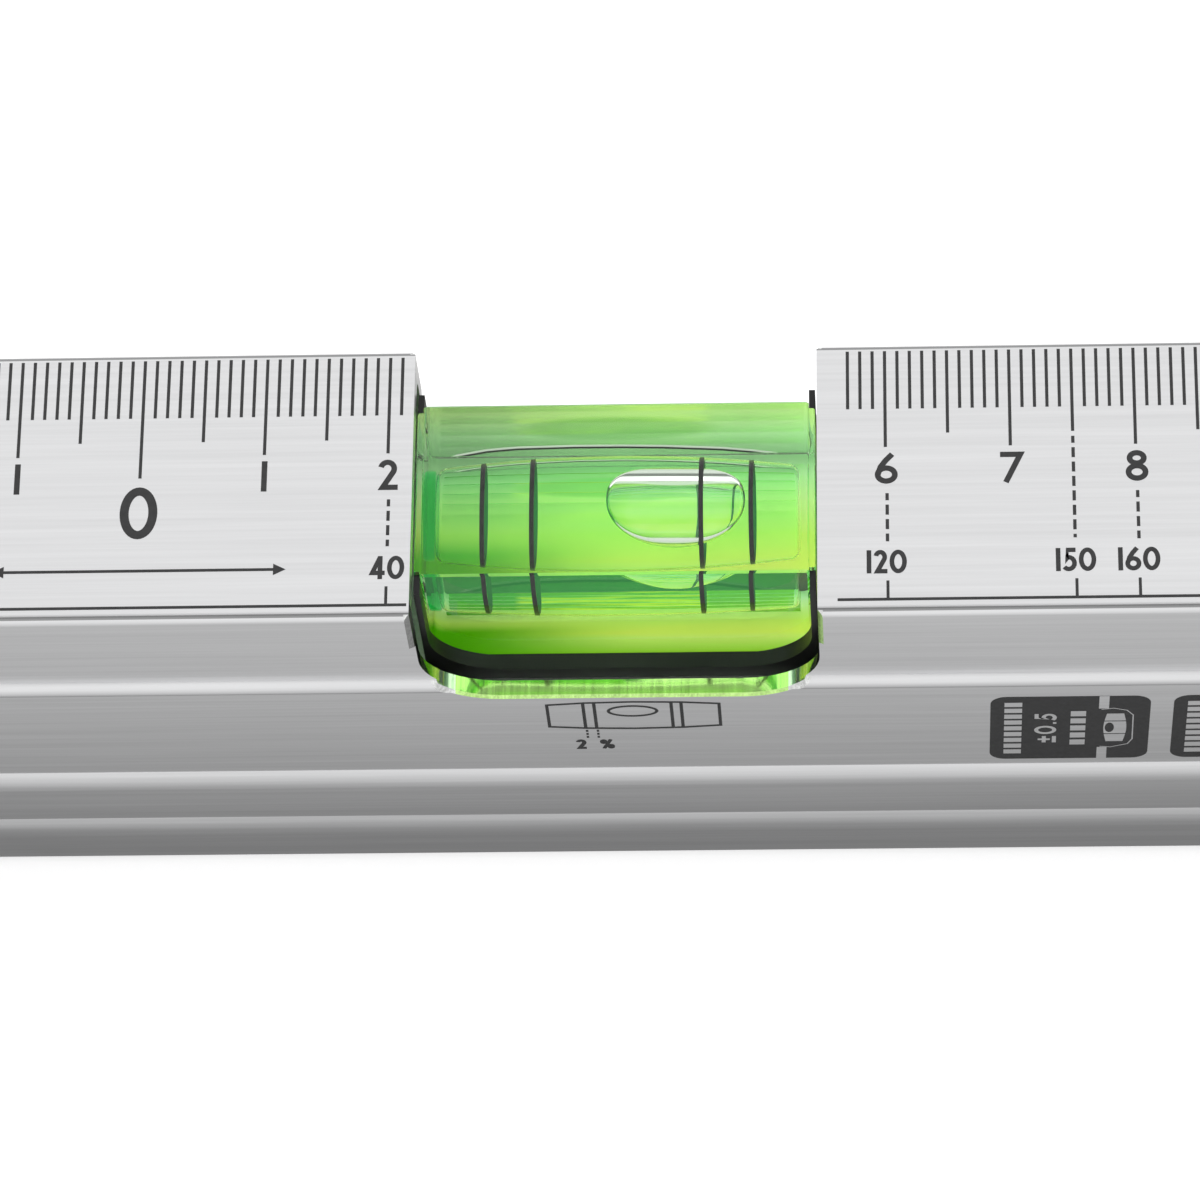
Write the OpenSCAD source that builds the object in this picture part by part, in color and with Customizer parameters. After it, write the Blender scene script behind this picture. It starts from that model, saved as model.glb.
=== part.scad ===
// Magnetic spirit level, millimetres.
// X runs along the level with 0 at its middle, which is also the zero of the ruler.
// -Y is the front. Z is up, from the base it rests on to the ruler face.

/* [Level] */
// Overall length over both end caps
level_length = 430; // [380:5:600]
// Depth of the extrusion, front to rear
profile_depth = 24; // [23:0.5:28]
// Height of the extrusion, base to ruler face
profile_height = 49; // [48:0.5:56]

/* [Walls] */
// Distance from the outer face to the hollow inside
side_wall = 1.7; // [1.5:0.05:1.9]
// Thickness under the ruler face
top_wall = 2; // [1.5:0.1:3]
// Thickness of the shelf that carries the level vial
shelf_wall = 1.5; // [1:0.1:2.5]
// Thickness of the base above the pipe groove
base_wall = 2.6; // [2:0.1:4]
// Rounding inside the hollow chambers
chamber_r = 1; // [0.5:0.1:1.5]

/* [Side bands, measured down from the ruler face] */
// Rounding of the two long top edges
top_edge_r = 0.7; // [0.3:0.1:1]
// Rounding of the two long base edges
base_edge_r = 0.5; // [0.2:0.1:1]
// Lower edge of the top lip
lip_drop = 5.8; // [4:0.1:8]
// Depth of the recess under the top lip
lip_recess = 0.7; // [0.3:0.05:0.8]
// Middle of the bead under the recess
bead_drop = 14.35; // [12:0.05:14.6]
// Radius of the bead
bead_r = 1.05; // [0.9:0.05:1.3]
// Inset of the printed panel from the outermost face
panel_inset = 0.15; // [0.05:0.05:0.3]
// Top of the upper groove
upper_groove_drop = 30.4; // [26:0.1:32]
// Depth of the upper groove
upper_groove_depth = 0.7; // [0.3:0.05:0.8]
// Radius of the swell that leads out of the upper groove
upper_swell_r = 3.8; // [2:0.1:5]
// Top of the lower groove
lower_groove_drop = 40.1; // [38:0.1:41]
// Depth of the lower groove
lower_groove_depth = 0.6; // [0.3:0.05:0.8]
// Radius of the swell that leads out of the lower groove
lower_swell_r = 5.5; // [3:0.1:6]

/* [Pipe groove] */
// Width of the groove at the base face
groove_w = 14; // [12:0.5:15]
// Depth of the groove
groove_depth = 2; // [1.5:0.1:3]

/* [Level vial] */
// Middle of the level vial, along the ruler
vial_x = 38.25; // [30:0.25:60]
// Length of the clear block
block_length = 31.2; // [29:0.1:34]
// How far the block's faces lie behind the level's front and rear
block_setback = 4.35; // [4:0.05:5]
// Height of the clear block
block_height = 15.4; // [14.5:0.1:16]
// How far the block's top lies below the ruler face
block_drop = 1.4; // [1:0.1:2]
// Rounding of the block's two lower corners
block_corner_r = 1; // [0.5:0.1:3]
// Width of the flanges at the block's ends
flange_w = 0.5; // [0.3:0.05:0.6]
// How far the flanges stop short of the block's top and bottom
flange_drop = 0.3; // [0.1:0.05:1]
// Gap between a flange and the seals
flange_gap = 0.1; // [0.05:0.05:0.3]
// Height of the cavity's axis below the block's top
cavity_drop = 7.55; // [7:0.05:8]
// Gap between block and cut-out at each end
seal_side = 0.65; // [0.6:0.05:1.2]
// Play between the seals and the sides of the cut-out
seal_play = 0.15; // [0:0.05:0.2]
// Rounding of the two lower corners of the seals' opening
seal_corner_r = 6; // [3:0.25:7]
// Thickness of the seals under the block
seal_base = 1.8; // [1:0.1:2.5]
// Depth of the seals, front to rear
seal_depth = 1.75; // [1.6:0.05:3]
// How far each seal stands out past the block's face
seal_lip = 1.3; // [0.8:0.1:1.6]
// How far the seals' upper ends stop below the block's top
seal_top_gap = 0.7; // [0.2:0.1:1.5]
// Depth of the cut-out in the front and rear faces, below the ruler face
cutout_drop = 16; // [14:0.1:16.6]
// Chamfer round the cut-out
cutout_chamfer = 0.4; // [0.2:0.05:0.9]

/* [Vial cavity] */
// Largest radius of the barrel-shaped cavity
cavity_r = 5; // [4.8:0.05:5.6]
// Radius of the barrel's long curve
barrel_r = 110; // [80:5:200]
// Thickness of the block's end walls
end_wall = 1; // [0.8:0.05:1.5]
// Radius of the plug in the filling end
plug_r = 3.9; // [3:0.1:3.95]
// Distance between the two inner reading rings
inner_ring_gap = 13.6; // [12:0.1:15]
// Distance between the two outer reading rings
outer_ring_gap = 21.6; // [19:0.1:24]
// Width of a reading ring
ring_w = 0.35; // [0.2:0.05:0.6]
// Thickness of a reading ring
ring_t = 0.1; // [0.05:0.01:0.15]

/* [Bubble] */
// Length of the bubble
bubble_length = 11.1; // [9:0.1:11.8]
// Width of the bubble
bubble_width = 7; // [5.5:0.1:7.4]
// How much smaller the radius of the bubble's crown is than the cavity's
crown_relief = 0.6; // [0.4:0.05:0.9]
// How far right of the middle the bubble of the level vial stands
bubble_shift = 4.8; // [-8:0.1:8]
// How far up from the middle the bubble of the plumb vial stands
plumb_bubble_shift = 8.4; // [-8:0.1:8.4]

/* [Plumb vial] */
// Middle of the plumb vial, from the right end of the level
plumb_end = 57; // [40:1:95]
// Height of the plumb vial's middle above the base
plumb_z = 24.6; // [23.5:0.1:25.5]
// Width of its block, along the level
plumb_block_w = 15.4; // [14:0.1:17]
// How far its block's faces lie behind the level's front and rear
plumb_block_setback = 1.4; // [1:0.1:1.6]
// Rounding of the block's four corners
plumb_corner_r = 4; // [2:0.25:6]
// Thickness of the frame round the block
frame_wall = 1; // [0.8:0.05:1.5]
// How far the frame stands out past the block's face
frame_lip = 0.8; // [0.3:0.05:0.9]
// How far the frame reaches inwards past the side wall
frame_reach = 1.6; // [1:0.1:3]

/* [Magnets] */
// Number of magnets in the base
magnet_count = 5; // [3:1:7]
// Middle of the outer magnets, from the ends of the level
magnet_end = 45; // [40:5:115]
// Diameter of a magnet
magnet_d = 7.2; // [6:0.1:8]
// Height of a magnet
magnet_h = 3.6; // [2.5:0.1:5]
// Wall of a magnet's steel cup
cup_wall = 1; // [0.6:0.1:1.3]
// How far cup and magnet stay above the floor of the pipe groove
cup_inset = 0.3; // [0:0.05:0.6]

/* [End caps] */
// Length of a cap outside the extrusion
cap_length = 10; // [6:0.5:16]
// Length of the cap's plug inside the extrusion
cap_plug = 12; // [8:0.5:18]
// How far the cap stays inside the outline of the extrusion
cap_inset = 0.2; // [0.1:0.05:0.5]
// Wall of the cap's plug
cap_plug_wall = 1.4; // [1:0.1:2]
// Gap between plug and extrusion, taken up by the crush ribs
cap_fit = 0.25; // [0.15:0.05:0.4]
// Rounding of the cap's outer edges
cap_edge_r = 2; // [1:0.25:3]

/* [Hanging hole] */
// Middle of the hanging hole, from the left end of the level
hang_end = 31; // [30:1:60]
// Height of the hanging hole above the base
hang_z = 26.4; // [26:0.1:27]
// Free diameter of the hanging hole
hang_d = 8; // [6:0.5:8]
// Wall of the bush
bush_wall = 1.2; // [0.8:0.1:1.6]
// Width of the bush's flange
bush_flange = 1; // [0.6:0.1:1.2]
// Thickness of the bush's flange
bush_flange_t = 0.9; // [0.6:0.1:1.5]
// Fit between the two halves of the bush
bush_fit = 0.05; // [0.03:0.01:0.1]

/* [Hidden] */
$fn = 96;
eps = 0.01;
over = 1;

half_depth = profile_depth / 2;
inner_half = half_depth - side_wall;
profile_length = level_length - 2 * cap_length;

// vial shelf and chambers, heights above the base
block_top_z = profile_height - block_drop;
block_bottom_z = block_top_z - block_height;
shelf_top_z = block_bottom_z - seal_base;
shelf_bottom_z = shelf_top_z - shelf_wall;
chamber_floor_z = groove_depth + base_wall;
chamber_top_z = profile_height - top_wall;

// level vial
cutout_w = block_length + 2 * seal_side;
cutout_corner_r = seal_corner_r + seal_side / 2;
block_depth = profile_depth - 2 * block_setback;
cavity_length = block_length - 2 * end_wall;
flange_depth = block_depth - 2 * (seal_depth - seal_lip + flange_gap);
cavity_z = block_top_z - cavity_drop;

// bubble: its crown follows the barrel, its underside is part of a ball that meets the crown
// at the bubble's sides and ends
crown_gap = 0.2;
channel_gap = 0.3;
crown_r = cavity_r - crown_relief;
side_drop = crown_r - sqrt(pow(crown_r, 2) - pow(bubble_width / 2, 2));
end_drop = barrel_r - sqrt(pow(barrel_r, 2) - pow(bubble_length / 2, 2));
ball_side_h = ((pow(bubble_length, 2) - pow(bubble_width, 2)) / 4 / (side_drop - end_drop)
    + side_drop - end_drop) / 2;
ball_r = sqrt(pow(ball_side_h, 2) + pow(bubble_width / 2, 2));
ball_rise = ball_side_h - side_drop;

// magnets
magnet_span = level_length - 2 * magnet_end;
cup_r = magnet_d / 2 + cup_wall;
cup_base_z = groove_depth + cup_inset;
cup_h = magnet_h + cup_wall;

// plumb vial and hanging hole
plumb_x = level_length / 2 - plumb_end;
plumb_block_depth = profile_depth - 2 * plumb_block_setback;
hang_x = hang_end - level_length / 2;
bush_r = hang_d / 2 + bush_wall;
bush_sleeve_r = bush_r + bush_wall;
bush_flange_r = bush_sleeve_r + bush_flange;

// angles in the vial's own frame
bubble_angle = asin(bubble_shift / barrel_r);
plumb_bubble_angle = asin(plumb_bubble_shift / barrel_r);
channel_angle = asin((cavity_length / 2 + over) / barrel_r);

module round_rect(w, h, r) {
    square([w - 2 * r, h], center = true);
    square([w, h - 2 * r], center = true);
    for (x = [-1, 1], y = [-1, 1])
        translate([x * (w / 2 - r), y * (h / 2 - r)]) circle(r);
}

// U shape open at the top, middle of its width on x = 0
module u_shape(w, bottom, top, r) {
    translate([-w / 2, bottom + r]) square([w, top - bottom - r]);
    translate([-w / 2 + r, bottom]) square([w - 2 * r, r]);
    for (x = [-1, 1])
        translate([x * (w / 2 - r), bottom + r]) circle(r);
}

// stands a drawing in X and Z up and gives it a depth from y0 to y1
module from_front(y0, y1) {
    translate([0, y1, 0]) rotate([90, 0, 0]) linear_extrude(height = y1 - y0) children();
}

// gives a drawing in Y and Z a length along the level from x0 to x1
module along_level(x0, x1) {
    translate([x0, 0, 0]) rotate([90, 0, 90]) linear_extrude(height = x1 - x0) children();
}

// Extrusion

module outline() {
    translate([-half_depth, base_edge_r])
        square([profile_depth, profile_height - base_edge_r - top_edge_r]);
    translate([-half_depth + base_edge_r, 0])
        square([profile_depth - 2 * base_edge_r, profile_height / 2]);
    translate([-half_depth + top_edge_r, profile_height / 2])
        square([profile_depth - 2 * top_edge_r, profile_height / 2]);
    for (s = [-1, 1]) {
        translate([s * (half_depth - base_edge_r), base_edge_r]) circle(base_edge_r);
        translate([s * (half_depth - top_edge_r), profile_height - top_edge_r]) circle(top_edge_r);
    }
}

module bead() {
    translate([half_depth - bead_r, profile_height - bead_drop]) circle(bead_r);
}

module lip_recess_band() {
    lip_z = profile_height - lip_drop;
    floor_y = half_depth - lip_recess;
    difference() {
        polygon([
            [half_depth + over, lip_z],
            [half_depth, lip_z],
            [floor_y, lip_z - 1.3 * lip_recess],
            [floor_y, profile_height - bead_drop],
            [half_depth + over, profile_height - bead_drop]
        ]);
        bead();
    }
}

module panel_band() {
    difference() {
        translate([half_depth - panel_inset, profile_height - upper_groove_drop - eps])
            square([panel_inset + over, upper_groove_drop - bead_drop + eps]);
        bead();
    }
}

// groove with a sloping upper side, a flat floor and a round swell back out to the outline
module groove_band(drop, depth, swell_r, from_y) {
    floor_gap = 1.5;
    swell_run = sqrt(pow(swell_r, 2) - pow(swell_r - depth, 2));
    groove_z = profile_height - drop;
    end_z = groove_z - floor_gap - swell_run;
    difference() {
        polygon([
            [half_depth + over, groove_z],
            [from_y, groove_z],
            [half_depth - depth, groove_z - 0.85 * depth],
            [half_depth - depth, end_z],
            [half_depth + over, end_z]
        ]);
        translate([half_depth - swell_r, end_z]) circle(swell_r);
    }
}

module side_bands() {
    lip_recess_band();
    panel_band();
    groove_band(upper_groove_drop, upper_groove_depth, upper_swell_r, half_depth - panel_inset);
    groove_band(lower_groove_drop, lower_groove_depth, lower_swell_r, half_depth);
}

module chamber(bottom, top) {
    translate([0, (bottom + top) / 2]) round_rect(2 * inner_half, top - bottom, chamber_r);
}

module pipe_groove() {
    polygon([
        [-groove_w / 2 - over, -over],
        [groove_w / 2 + over, -over],
        [groove_w / 2 - groove_depth, groove_depth],
        [-groove_w / 2 + groove_depth, groove_depth]
    ]);
}

module section() {
    difference() {
        outline();
        for (s = [0, 1]) mirror([s, 0]) side_bands();
        chamber(chamber_floor_z, shelf_bottom_z);
        chamber(shelf_top_z, chamber_top_z);
        pipe_groove();
    }
}

module chamfer_section() {
    polygon([[-over, -over], [cutout_chamfer + over, -over], [-over, cutout_chamfer + over]]);
}

// chamfer along the U of the level vial's cut-out, on the front face
module cutout_edge() {
    bottom = profile_height - cutout_drop;
    corner_x = cutout_w / 2 - cutout_corner_r;
    for (s = [0, 1]) mirror([s, 0, 0]) {
        translate([cutout_w / 2, -half_depth, bottom + cutout_corner_r])
            linear_extrude(height = cutout_drop) chamfer_section();
        translate([corner_x, -half_depth, bottom + cutout_corner_r])
            rotate([-90, 0, 0]) rotate_extrude(angle = 90)
                translate([cutout_corner_r, 0]) chamfer_section();
    }
    translate([-corner_x, -half_depth, bottom])
        rotate([0, 90, 0]) linear_extrude(height = 2 * corner_x) chamfer_section();
}

module level_vial_cutout() {
    translate([vial_x, 0, 0]) {
        from_front(-half_depth - over, half_depth + over)
            u_shape(cutout_w, profile_height - cutout_drop, profile_height + over, cutout_corner_r);
        cutout_edge();
        mirror([0, 1, 0]) cutout_edge();
    }
}

module plumb_outline(margin) {
    translate([plumb_x, plumb_z])
        round_rect(plumb_block_w + 2 * margin, block_length + 2 * margin, plumb_corner_r + margin);
}

module hanging_hole() {
    translate([hang_x, 0, hang_z]) rotate([90, 0, 0]) {
        cylinder(r = bush_sleeve_r, h = profile_depth + 2 * over, center = true);
        for (s = [0, 1]) mirror([0, 0, s])
            translate([0, 0, half_depth - bush_flange_t]) cylinder(r = bush_flange_r, h = 2 * over);
    }
}

module each_magnet() {
    for (i = [0 : magnet_count - 1])
        translate([magnet_span * (i / (magnet_count - 1) - 0.5), 0, cup_base_z]) children();
}

module profile() {
    color("silver") difference() {
        along_level(-profile_length / 2, profile_length / 2) section();
        level_vial_cutout();
        from_front(-half_depth - over, half_depth + over) plumb_outline(frame_wall);
        hanging_hole();
        each_magnet() translate([0, 0, -groove_depth])
            cylinder(r = cup_r, h = base_wall + groove_depth + over);
    }
}

// Vials. Each is drawn round the middle of its cavity: x along the barrel, z towards the crown.

module place_level() {
    translate([vial_x, 0, cavity_z]) children();
}

module place_plumb() {
    translate([plumb_x, 0, plumb_z]) rotate([0, -90, 0]) children();
}

module barrel(r) {
    rotate([0, 90, 0]) rotate_extrude() intersection() {
        translate([r - barrel_r, 0]) circle(barrel_r, $fn = 256);
        translate([0, -cavity_length / 2]) square([r + over, cavity_length]);
    }
}

module plug(r, h) {
    translate([-cavity_length / 2 - end_wall, 0, 0]) rotate([0, 90, 0]) cylinder(r = r, h = h);
}

module cavity() {
    barrel(cavity_r);
    plug(plug_r, end_wall + over);
}

module reading_rings() {
    difference() {
        intersection() {
            barrel(cavity_r);
            for (x = [-outer_ring_gap, -inner_ring_gap, inner_ring_gap, outer_ring_gap])
                translate([x / 2, 0, 0]) cube([ring_w, 4 * cavity_r, 4 * cavity_r], center = true);
        }
        barrel(cavity_r - ring_t);
    }
}

// sweeps a drawing round the middle of the barrel's long curve; its x is measured from that middle
module round_arc_middle(half_angle) {
    translate([0, 0, cavity_r - barrel_r]) rotate([90, 0, 0]) rotate([0, 0, 90 - half_angle])
        rotate_extrude(angle = 2 * half_angle, $fn = 256) children();
}

module bubble_channel() {
    round_arc_middle(channel_angle)
        translate([barrel_r - crown_gap + ball_rise, 0]) circle(ball_r + channel_gap);
}

module liquid() {
    difference() {
        barrel(cavity_r);
        reading_rings();
        bubble_channel();
    }
}

module bubble(angle) {
    translate([0, 0, cavity_r - barrel_r]) rotate([0, angle, 0]) translate([0, 0, barrel_r - cavity_r])
        intersection() {
            translate([0, 0, cavity_r - crown_gap + ball_rise]) sphere(ball_r);
            round_arc_middle(channel_angle) translate([barrel_r - crown_gap - crown_r, 0]) circle(crown_r);
        }
}

// Level vial

module level_vial_block() {
    color("palegreen") difference() {
        translate([vial_x, 0, 0]) {
            from_front(-block_depth / 2, block_depth / 2)
                u_shape(block_length, block_bottom_z, block_top_z, block_corner_r);
            from_front(-flange_depth / 2, flange_depth / 2)
                u_shape(block_length + 2 * flange_w, block_bottom_z + flange_drop,
                    block_top_z - flange_drop, block_corner_r);
        }
        place_level() cavity();
    }
}

module level_vial_plug() {
    color("seagreen") place_level() plug(plug_r, end_wall);
}

module level_vial_liquid() {
    color("limegreen") place_level() liquid();
}

module level_vial_rings() {
    color("black") place_level() reading_rings();
}

module level_vial_bubble() {
    color("white") place_level() bubble(bubble_angle);
}

// seal of the front face: a lip before the block's face and a rim round the block's edge
module u_seal() {
    face_y = -block_depth / 2;
    front_y = face_y - seal_lip;
    back_y = front_y + seal_depth;
    top_z = block_top_z - seal_top_gap;
    translate([vial_x, 0, 0]) difference() {
        from_front(front_y, back_y)
            u_shape(cutout_w - 2 * seal_play, shelf_top_z, top_z, block_corner_r + seal_base / 2);
        from_front(front_y - over, face_y)
            u_shape(block_length, block_bottom_z, top_z + over, seal_corner_r);
        from_front(face_y, back_y + over)
            u_shape(block_length, block_bottom_z, top_z + over, block_corner_r);
    }
}

module level_vial_front_seal() {
    color("black") u_seal();
}

module level_vial_rear_seal() {
    color("black") mirror([0, 1, 0]) u_seal();
}

// Plumb vial

module plumb_vial_block() {
    color("palegreen") difference() {
        from_front(-plumb_block_depth / 2, plumb_block_depth / 2) plumb_outline(0);
        place_plumb() cavity();
    }
}

module plumb_vial_plug() {
    color("seagreen") place_plumb() plug(plug_r, end_wall);
}

module plumb_vial_liquid() {
    color("limegreen") place_plumb() liquid();
}

module plumb_vial_rings() {
    color("black") place_plumb() reading_rings();
}

module plumb_vial_bubble() {
    color("white") place_plumb() bubble(plumb_bubble_angle);
}

module plumb_frame() {
    from_front(-plumb_block_depth / 2 - frame_lip, -inner_half + frame_reach) difference() {
        plumb_outline(frame_wall);
        plumb_outline(0);
    }
}

module plumb_vial_front_frame() {
    color("black") plumb_frame();
}

module plumb_vial_rear_frame() {
    color("black") mirror([0, 1, 0]) plumb_frame();
}

// Magnets in the base

module magnets() {
    color("dimgray") each_magnet() cylinder(d = magnet_d, h = magnet_h);
}

module magnet_cups() {
    color("gray") each_magnet() difference() {
        cylinder(r = cup_r, h = cup_h);
        translate([0, 0, -over]) cylinder(d = magnet_d, h = magnet_h + over);
    }
}

// End caps

// hollow plug with crush ribs for one chamber of the extrusion
module cap_chamber_plug(bottom, top) {
    plug_w = 2 * (inner_half - cap_fit);
    plug_h = top - bottom - 2 * cap_fit;
    rib_w = 0.8;
    start_x = profile_length / 2 - cap_plug;
    translate([0, 0, (bottom + top) / 2]) {
        along_level(start_x, profile_length / 2) difference() {
            round_rect(plug_w, plug_h, chamber_r);
            round_rect(plug_w - 2 * cap_plug_wall, plug_h - 2 * cap_plug_wall, chamber_r / 2);
        }
        along_level(start_x + rib_w, profile_length / 2) {
            for (z = [-1, 1] * plug_h / 4, s = [-1, 1])
                translate([s * (inner_half - cap_fit), z]) square([2 * cap_fit, rib_w], center = true);
            for (y = [-1, 1] * plug_w / 4, s = [-1, 1])
                translate([y, s * plug_h / 2]) square([rib_w, 2 * cap_fit], center = true);
        }
    }
}

module end_cap() {
    cap_w = profile_depth - 2 * cap_inset;
    cap_h = profile_height - 2 * cap_inset;
    face_recess = 0.6;
    face_margin = 3.5;
    start_x = profile_length / 2;
    difference() {
        intersection() {
            translate([0, 0, profile_height / 2]) along_level(start_x, start_x + cap_length)
                round_rect(cap_w, cap_h, cap_edge_r / 2);
            // rounded seen from above and from the front
            translate([start_x, 0, 0]) linear_extrude(height = profile_height)
                round_rect(2 * cap_length, cap_w, cap_edge_r);
            translate([start_x, 0, profile_height / 2]) from_front(-half_depth, half_depth)
                round_rect(2 * cap_length, cap_h, cap_edge_r);
        }
        translate([0, 0, profile_height / 2])
            along_level(start_x + cap_length - face_recess, start_x + cap_length + over)
                round_rect(cap_w - 2 * face_margin, cap_h - 2 * face_margin, cap_edge_r);
    }
    cap_chamber_plug(chamber_floor_z, shelf_bottom_z);
    cap_chamber_plug(shelf_top_z, chamber_top_z);
}

module left_end_cap() {
    color("black") mirror([1, 0, 0]) end_cap();
}

module right_end_cap() {
    color("black") end_cap();
}

// Bush in the hanging hole: a tube with a flange, and a sleeve that slides over it from behind

module hang_bush_front() {
    tube_length = profile_depth;
    color("black") translate([hang_x, -half_depth, hang_z]) rotate([-90, 0, 0]) difference() {
        union() {
            cylinder(r = bush_flange_r, h = bush_flange_t);
            cylinder(r = bush_sleeve_r, h = side_wall);
            cylinder(r = bush_r, h = tube_length);
        }
        translate([0, 0, -over]) cylinder(d = hang_d, h = tube_length + 2 * over);
    }
}

module hang_bush_rear() {
    sleeve_length = profile_depth - side_wall;
    color("black") translate([hang_x, half_depth, hang_z]) rotate([90, 0, 0]) difference() {
        union() {
            cylinder(r = bush_flange_r, h = bush_flange_t);
            cylinder(r = bush_sleeve_r, h = sleeve_length);
        }
        translate([0, 0, -over]) cylinder(r = bush_r + bush_fit, h = sleeve_length + 2 * over);
    }
}

profile();
level_vial_block();
level_vial_plug();
level_vial_liquid();
level_vial_rings();
level_vial_bubble();
level_vial_front_seal();
level_vial_rear_seal();
plumb_vial_block();
plumb_vial_plug();
plumb_vial_liquid();
plumb_vial_rings();
plumb_vial_bubble();
plumb_vial_front_frame();
plumb_vial_rear_frame();
magnets();
magnet_cups();
left_end_cap();
right_end_cap();
hang_bush_front();
hang_bush_rear();
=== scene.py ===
import math

import bmesh
import bpy
from mathutils import Matrix, Vector


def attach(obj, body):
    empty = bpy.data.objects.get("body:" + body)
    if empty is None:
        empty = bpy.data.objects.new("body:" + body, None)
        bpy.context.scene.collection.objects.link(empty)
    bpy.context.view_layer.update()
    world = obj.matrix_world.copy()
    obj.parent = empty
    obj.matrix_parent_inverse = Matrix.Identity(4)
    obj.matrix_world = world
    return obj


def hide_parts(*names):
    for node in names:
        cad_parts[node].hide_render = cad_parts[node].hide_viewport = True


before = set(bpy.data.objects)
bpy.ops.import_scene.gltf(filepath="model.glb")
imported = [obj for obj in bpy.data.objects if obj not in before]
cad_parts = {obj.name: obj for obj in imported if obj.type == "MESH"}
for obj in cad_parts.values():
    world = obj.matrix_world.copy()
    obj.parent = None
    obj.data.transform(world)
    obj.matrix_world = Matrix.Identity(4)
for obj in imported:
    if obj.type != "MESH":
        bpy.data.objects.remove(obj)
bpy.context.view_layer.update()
mm = 0.001
print("frame loaded:", len(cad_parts), "nodes")

# node helpers


def newTree(name, kind="ShaderNodeTree"):
    return bpy.data.node_groups.new(name, kind)


def socket(tree, name, kind, out=False, value=None):
    made = tree.interface.new_socket(
        name=name, in_out="OUTPUT" if out else "INPUT", socket_type="NodeSocket" + kind)
    if value is not None:
        made.default_value = value
    return made


def put(tree, kind, inputs=None, **settings):
    node = tree.nodes.new(kind)
    for key, value in settings.items():
        setattr(node, key, value)
    for key, value in (inputs or {}).items():
        if isinstance(value, bpy.types.NodeSocket):
            tree.links.new(value, node.inputs[key])
        else:
            node.inputs[key].default_value = value
    return node


def maths(tree, operation, *values):
    return put(tree, "ShaderNodeMath", dict(enumerate(values)), operation=operation).outputs[0]


def mixColour(tree, factor, a, b, blend="MIX"):
    return put(tree, "ShaderNodeMix", {0: factor, 6: a, 7: b}, data_type="RGBA",
               blend_type=blend).outputs[2]


def mixValue(tree, factor, a, b):
    return put(tree, "ShaderNodeMix", {0: factor, 2: a, 3: b}, data_type="FLOAT").outputs[0]


def mapRange(tree, value, low, high, toLow=0.0, toHigh=1.0, soft=False):
    return put(tree, "ShaderNodeMapRange", {0: value, 1: low, 2: high, 3: toLow, 4: toHigh},
               interpolation_type="SMOOTHSTEP" if soft else "LINEAR").outputs[0]


def coordinate(tree, kind="Object"):
    return put(tree, "ShaderNodeTexCoord").outputs[kind]


def parted(tree, kind="Object"):                 # x, y and z of a place or a normal
    return put(tree, "ShaderNodeSeparateXYZ", {0: coordinate(tree, kind)}).outputs


def stretched(tree, vector, size):
    return put(tree, "ShaderNodeVectorMath", {0: vector, 1: size}, operation="MULTIPLY").outputs[0]


def scaled(tree, colour, factor):
    return put(tree, "ShaderNodeVectorMath", {0: colour, "Scale": factor}, operation="SCALE").outputs[0]


def rgb(r, g, b):
    return (r, g, b, 1.0)


# shader groups that several materials use


fineLines = newTree("fineLines")   # drawing and brushing marks: long in one direction, fine across it
socket(fineLines, "Stretch", "Vector", value=(30.0, 7000.0, 7000.0))
socket(fineLines, "Broad", "Vector", value=(6.0, 900.0, 900.0))
socket(fineLines, "Height", "Float", out=True)
socket(fineLines, "Tone", "Float", out=True)
t = fineLines
gin, gout = put(t, "NodeGroupInput"), put(t, "NodeGroupOutput")
where = coordinate(t)
fine = put(t, "ShaderNodeTexNoise", {"Vector": stretched(t, where, gin.outputs["Stretch"]),
                                     "Scale": 1.0, "Detail": 3.0, "Roughness": 0.6})
broad = put(t, "ShaderNodeTexNoise", {"Vector": stretched(t, where, gin.outputs["Broad"]),
                                      "Scale": 1.0, "Detail": 2.0, "Roughness": 0.5})
both = maths(t, "MULTIPLY_ADD", fine.outputs[0], 0.65, maths(t, "MULTIPLY", broad.outputs[0], 0.35))
t.links.new(both, gout.inputs["Height"])
t.links.new(maths(t, "SUBTRACT", both, 0.5), gout.inputs["Tone"])

grain = newTree("mouldedGrain")    # fine spark-eroded grain of moulded plastic and rubber
socket(grain, "Size", "Float", value=3500.0)
socket(grain, "Height", "Float", out=True)
socket(grain, "Tone", "Float", out=True)
t = grain
gin, gout = put(t, "NodeGroupInput"), put(t, "NodeGroupOutput")
where = coordinate(t)
small = put(t, "ShaderNodeTexNoise", {"Vector": where, "Scale": gin.outputs["Size"],
                                      "Detail": 4.0, "Roughness": 0.65})
large = put(t, "ShaderNodeTexNoise", {"Vector": where, "Scale": 60.0, "Detail": 2.0})
t.links.new(small.outputs[0], gout.inputs["Height"])
t.links.new(maths(t, "SUBTRACT", large.outputs[0], 0.5), gout.inputs["Tone"])


def newMaterial(name, constants):
    material = bpy.data.materials.new(name)
    material.use_nodes = True
    t = material.node_tree
    t.nodes.clear()
    out = put(t, "ShaderNodeOutputMaterial")
    shader = put(t, "ShaderNodeBsdfPrincipled", constants)
    t.links.new(shader.outputs[0], out.inputs["Surface"])
    return material, t, shader.inputs, out.inputs


# colour that fine noise makes a little uneven
def speckled(t, shader, colour, scale, spread, low, detail=2.0):
    noise = put(t, "ShaderNodeTexNoise", {"Vector": coordinate(t), "Scale": scale, "Detail": detail})
    shade = scaled(t, colour[:3], maths(t, "MULTIPLY_ADD", noise.outputs[0], spread, low))
    t.links.new(shade, shader["Base Color"])
    return shade


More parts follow.
